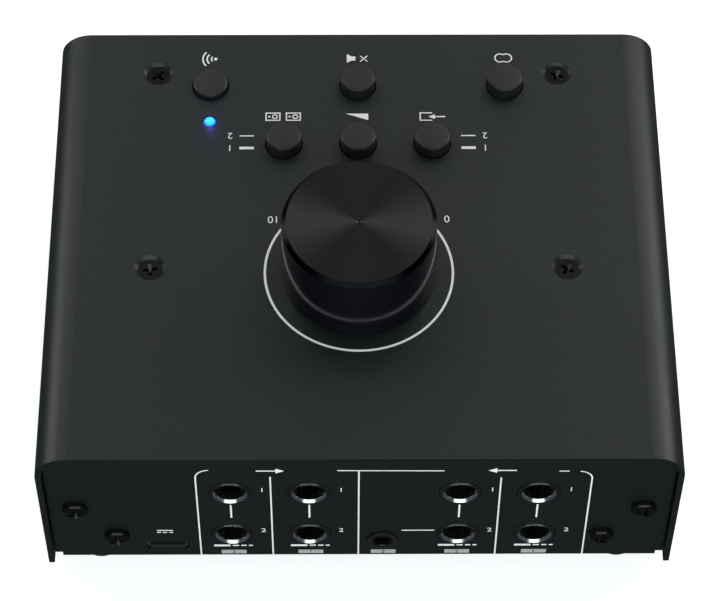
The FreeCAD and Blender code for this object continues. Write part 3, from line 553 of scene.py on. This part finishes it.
def digits(bm, text, u, v, height):
    """Plain numerals centred on u, v."""
    curve = bpy.data.curves.new("numeral", "FONT")
    curve.body = text
    curve.size = height / 0.73
    curve.resolution_u = 4
    obj = bpy.data.objects.new("numeral", curve)
    bpy.context.scene.collection.objects.link(obj)
    bpy.context.view_layer.update()
    mesh = bpy.data.meshes.new_from_object(obj.evaluated_get(bpy.context.evaluated_depsgraph_get()))
    low = [min(p.co[k] for p in mesh.vertices) for k in range(2)]
    high = [max(p.co[k] for p in mesh.vertices) for k in range(2)]
    step = Matrix.Translation((u - (low[0] + high[0]) / 2, v - (low[1] + high[1]) / 2, 0))
    mesh.transform(step)
    bm.from_mesh(mesh)
    bpy.data.meshes.remove(mesh)
    bpy.data.objects.remove(obj)
    bpy.data.curves.remove(curve)


def printed(name, bm, place, material):
    """Gives the flat marks their ink thickness and puts them on the surface."""
    bmesh.ops.remove_doubles(bm, verts=bm.verts, dist=1e-5)
    for face in bm.faces:
        if face.normal.z < 0:
            face.normal_flip()
    lifted = bmesh.ops.extrude_face_region(bm, geom=bm.faces[:])["geom"]
    tall = [v for v in lifted if isinstance(v, bmesh.types.BMVert)]
    bmesh.ops.translate(bm, verts=tall, vec=(0, 0, 1))
    for v in bm.verts:
        v.co = place @ Vector((v.co.x * MM, v.co.y * MM, (v.co.z * 2 - 1) * INK))
    return piece_from(name, bm, material, sharp=20)


ON_TOP = Matrix.Translation((0, 0, TOP))
ON_REAR = Matrix(((-1, 0, 0, 0), (0, 0, 1, PANEL), (0, 1, 0, 0), (0, 0, 0, 1)))

marks = bmesh.new()
# Volume arc and its end numbers
arc_radius, arc_half_turn = 20.92, 124
stroke(marks, around(0, KNOB.y / MM, arc_radius, 90 + arc_half_turn, 90 - arc_half_turn, 120), 0.55)
digits(marks, "0", -19.9, -4.7, 2.0)
digits(marks, "10", 19.4, -4.6, 2.0)
# Radio waves over the latched button
waves_u, waves_v = 33.2, -50.9
for r in (1.0, 2.0, 3.0):
    stroke(marks, around(waves_u, waves_v, r, -42, 42, 10), 0.36)
dot(marks, waves_u, waves_v, 0.42, 12)
# Crossed-out loudspeaker
speaker = [(0.5, -0.6), (1.3, -0.6), (2.5, -1.3), (2.5, 1.3), (1.3, 0.6), (0.5, 0.6)]
shape(marks, moved(speaker, 0, -51.0))
arm, gap = 0.85, 0.15
cross_u, cross_v, cross_line = -1.45, -50.95, 0.26
stroke(marks, moved([(-arm, -arm), (arm, arm)], cross_u, cross_v), cross_line)
stroke(marks, moved([(-arm, arm), (-gap, gap)], cross_u, cross_v), cross_line)
stroke(marks, moved([(gap, -gap), (arm, -arm)], cross_u, cross_v), cross_line)
# Two channels in one: two rings, open where they overlap
for u, opening in ((-34.9, 0), (-33.4, 180)):
    stroke(marks, around(u, -51.1, 1.2, opening + 52, opening + 308, 22), 0.32)
# Pair of loudspeaker boxes, on their sides
box_v, box_wide, box_high = -33.85, 1.6, 1.05
outline = [(-box_wide, -box_high), (box_wide, -box_high), (box_wide, box_high), (-box_wide, box_high)]
for u in (14.9, 19.6):
    stroke(marks, moved(outline, u, box_v), 0.3, closed=True)
    ring(marks, u - 0.45, box_v, 0.55, 0.28, 16)
    dot(marks, u + 0.85, box_v, 0.26, 10)
# Falling level
shape(marks, [(-2.4, -34.7), (-2.4, -32.8), (2.8, -34.7)])
# Arrow into a box
arrow(marks, -20.2, -17.8, -16.3, -33.8, 0.7, 0.34)
stroke(marks, [(-17.2, -32.75), (-14.4, -32.75), (-14.4, -34.9), (-17.2, -34.9)], 0.3)
# Source and output switch positions: a thick bar for 1 and a thin one for 2
for u, inner, outer in ((29.4, 27.2, 23.9), (-29.2, -27.0, -23.7)):
    for text, v, width in (("1", -24.8, 0.75), ("2", -28.3, 0.3)):
        digits(marks, text, u, v, 1.8)
        stroke(marks, [(inner, v), (outer, v)], width)
printed("top_print", marks, ON_TOP, WHITE_INK)

# Rear panel: frames, dividers, links, channel numbers. The reader's u is -x.
marks = bmesh.new()
line = 0.34
foot = 3.6
stroke(marks, [(-35.6, foot)] + around(-32.4, 38.0, 3.2, 180, 95, 8), line)
stroke(marks, [(50.3, foot)] + around(47.3, 37.4, 3.0, 0, 85, 8), line)
stroke(marks, [(-4.9, 40.9), (18.2, 40.7)], line)
stroke(marks, [(43.0, 40.5), (45.2, 40.45)], line)
for u, high in ((-19.4, 38.4), (-0.2, 40.6), (30.6, 37.9)):
    stroke(marks, [(u, foot), (u, high)], line)
columns = []
for number in range(1, 5):
    low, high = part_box(f"jack_block_{number}")
    columns.append(-(low.x + high.x) / 2 / MM)
for u in columns:
    stroke(marks, [(u, 20.6), (u, 26.2)], 0.4)
    digits(marks, "1", u + 7.0, 32.7, 1.7)
    digits(marks, "2", u + 7.0, 15.0, 1.7)
stroke(marks, [(9.4, 14.8), (16.7, 14.8)], 0.36)
# Three-part plug under each column, its sleeve thicker than its rings and tip
for u in columns:
    for start, end, width in ((-4.3, -0.6, 0.75), (-0.1, 1.3, 0.5), (1.8, 3.0, 0.5), (3.5, 4.4, 0.5)):
        stroke(marks, [(u + start, 8.1), (u + end, 8.1)], width)
# Arrows out of and into the box, in the gaps of the frame lines
for u, way in ((-19.2, 1), (30.6, -1)):
    arrow(marks, u - 3.2 * way, u + 1.0 * way, u + 2.9 * way, 40.8, 1.0, 0.42)
# Direct current: a full line over three dashes
dash, pitch = 0.9, 1.35
stroke(marks, [(-45.1, 15.0), (-41.5, 15.0)], line)
for k in range(3):
    start = -45.1 + k * pitch
    stroke(marks, [(start, 14.1), (start + dash, 14.1)], line)
printed("panel_print", marks, ON_REAR, WHITE_INK)

# Grey number tabs at the foot of the panel
tabs = bmesh.new()
numbers = bmesh.new()
tab_v, tab_wide, tab_high = 5.25, 2.8, 0.8
tab = [(-tab_wide, -tab_high), (tab_wide, -tab_high), (tab_wide, tab_high), (-tab_wide, tab_high)]
for u, text in ((-28.2, "2"), (-10.9, "1"), (5.4, "2"), (22.0, "2"), (39.3, "1")):
    shape(tabs, moved(tab, u, tab_v))
    digits(numbers, text, u, tab_v, 1.2)
printed("panel_number_tabs", tabs, ON_REAR, GREY_INK)
printed("panel_tab_numbers", numbers, ON_REAR @ Matrix.Translation((0, 0, 1.2 * INK)),
        FINISHES["black_plastic"])


# Floor, light and camera

def floor():
    """A pale plain floor, which shiny surfaces don't mirror."""
    bm = bmesh.new()
    bmesh.ops.create_grid(bm, x_segments=1, y_segments=1, size=3.0)
    mesh = bpy.data.meshes.new("floor")
    bm.to_mesh(mesh)
    bm.free()
    obj = bpy.data.objects.new("floor", mesh)
    bpy.context.scene.collection.objects.link(obj)
    mat, shader = new_material("floor_white")
    link(mat, tint(mat, grain(mat, 0.4), (0.86, 0.86, 0.86), (0.88, 0.88, 0.88)),
         shader.inputs["Base Color"])
    shader.inputs["Roughness"].default_value = 0.9
    shader.inputs["Specular IOR Level"].default_value = 0.1
    shader.inputs["Emission Color"].default_value = (1, 1, 1, 1)
    shader.inputs["Emission Strength"].default_value = 0.62
    mesh.materials.append(mat)
    obj.visible_glossy = False


def softbox(name, place, target, width, height, power, color=(1, 1, 1)):
    data = bpy.data.lights.new(name, "AREA")
    data.shape = "RECTANGLE"
    data.size, data.size_y = width, height
    data.energy = power
    data.color = color
    obj = bpy.data.objects.new(name, data)
    obj.location = place
    way = Vector(target) - Vector(place)
    obj.rotation_euler = way.to_track_quat("-Z", "Y").to_euler()
    bpy.context.scene.collection.objects.link(obj)


def lamp_glow():
    """The little light that the lamp throws on the cover round it."""
    data = bpy.data.lights.new("lamp_glow", "POINT")
    data.energy = 0.0004
    data.color = (0.16, 0.08, 1.0)
    data.shadow_soft_size = 0.6 * MM
    obj = bpy.data.objects.new("lamp_glow", data)
    obj.location = LAMP + Vector((0, 0, 1.6 * MM))
    bpy.context.scene.collection.objects.link(obj)


floor()
lamp_glow()
MIDDLE = (0, 0, 0.05)
softbox("over_left", (0.34, -0.42, 0.60), MIDDLE, 0.30, 0.5, 0.55)
softbox("over_right", (-0.36, -0.42, 0.60), MIDDLE, 0.32, 0.5, 0.75)
softbox("low_user", (-0.15, -1.15, 0.55), (0, 0, 0.03), 1.3, 0.5, 1.4)
softbox("side_left", (0.80, -0.42, 0.42), MIDDLE, 0.3, 0.5, 1.7)
softbox("side_right", (-0.80, -0.42, 0.42), MIDDLE, 0.3, 0.5, 2.2)
softbox("behind_camera", (0.0, 0.95, 0.80), (0, 0, 0), 2.2, 0.7, 11.5, (0.88, 0.965, 1.0))

# The room grows brighter towards a point above the user
world = bpy.data.worlds.new("studio")
bpy.context.scene.world = world
world.use_nodes = True
sky = world.node_tree
place = sky.nodes.new("ShaderNodeTexCoord")
toward = sky.nodes.new("ShaderNodeVectorMath")
toward.operation = "DOT_PRODUCT"
toward.inputs[1].default_value = (-0.15, -0.55, 0.82)
ramp = sky.nodes.new("ShaderNodeValToRGB")
sky.links.new(place.outputs["Generated"], toward.inputs[0])
sky.links.new(toward.outputs["Value"], ramp.inputs[0])
sky.links.new(ramp.outputs[0], sky.nodes["Background"].inputs["Color"])
stops = ramp.color_ramp.elements
stops[0].position, stops[0].color = 0.1, (0.06, 0.068, 0.075, 1)
stops[1].position, stops[1].color = 0.95, (0.27, 0.28, 0.28, 1)
middle = stops.new(0.5)
middle.color = (0.13, 0.137, 0.14, 1)
bpy.context.scene.view_settings.view_transform = "Standard"

# Camera as fitted to the photograph: tilt from straight down, roll and heading
camera_tilt, camera_roll, camera_heading = 34.01039, -0.25009, 179.68361
camera_data = bpy.data.cameras.new("camera")
camera_data.sensor_fit = "HORIZONTAL"
camera_data.sensor_width = 36.0
camera_data.lens = 143.16
camera = bpy.data.objects.new("camera", camera_data)
camera.location = (0.004032, 0.371283, 0.572266)
camera.rotation_euler = [math.radians(a) for a in (camera_tilt, camera_roll, camera_heading)]
bpy.context.scene.collection.objects.link(camera)
bpy.context.scene.camera = camera
